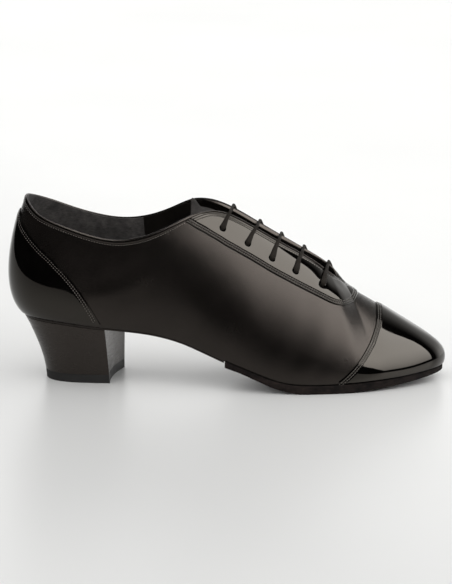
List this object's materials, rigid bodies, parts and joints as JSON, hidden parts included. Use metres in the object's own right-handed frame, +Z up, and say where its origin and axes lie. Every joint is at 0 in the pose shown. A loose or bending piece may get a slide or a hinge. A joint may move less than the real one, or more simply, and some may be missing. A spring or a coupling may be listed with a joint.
{
  "type": "ballroom dance shoe",
  "caption": "Laced leather dance shoe for the right foot with patent toe cap, heel counter and eyestay, a suede forefoot sole and a covered block heel.",
  "frame": {"origin": "middle of the overall box, on the floor that heel and forefoot stand on", "axes": "+X from the heel to the toe, +Y to the inner side of the right foot, +Z up"},
  "size_m": [0.2776, 0.0962, 0.1165],
  "materials": {
    "smooth_leather": "satin black nappa",
    "patent_leather": "high gloss black patent",
    "lining": "matt dark grey",
    "sole_suede": "matt black suede",
    "heel_tip": "matt black",
    "lace_textile": "woven dark grey"
  },
  "bodies": {
    "root": {"upper": "smooth_leather", "facing": "patent_leather", "toe_cap": "patent_leather", "counter": "patent_leather", "collar_binding": "smooth_leather", "tongue": "lining", "insole": "lining", "waist_cover": "smooth_leather", "outsole": "sole_suede", "heel": "smooth_leather", "top_piece": "heel_tip", "lace": "lace_textile"}
  },
  "joints": []
}
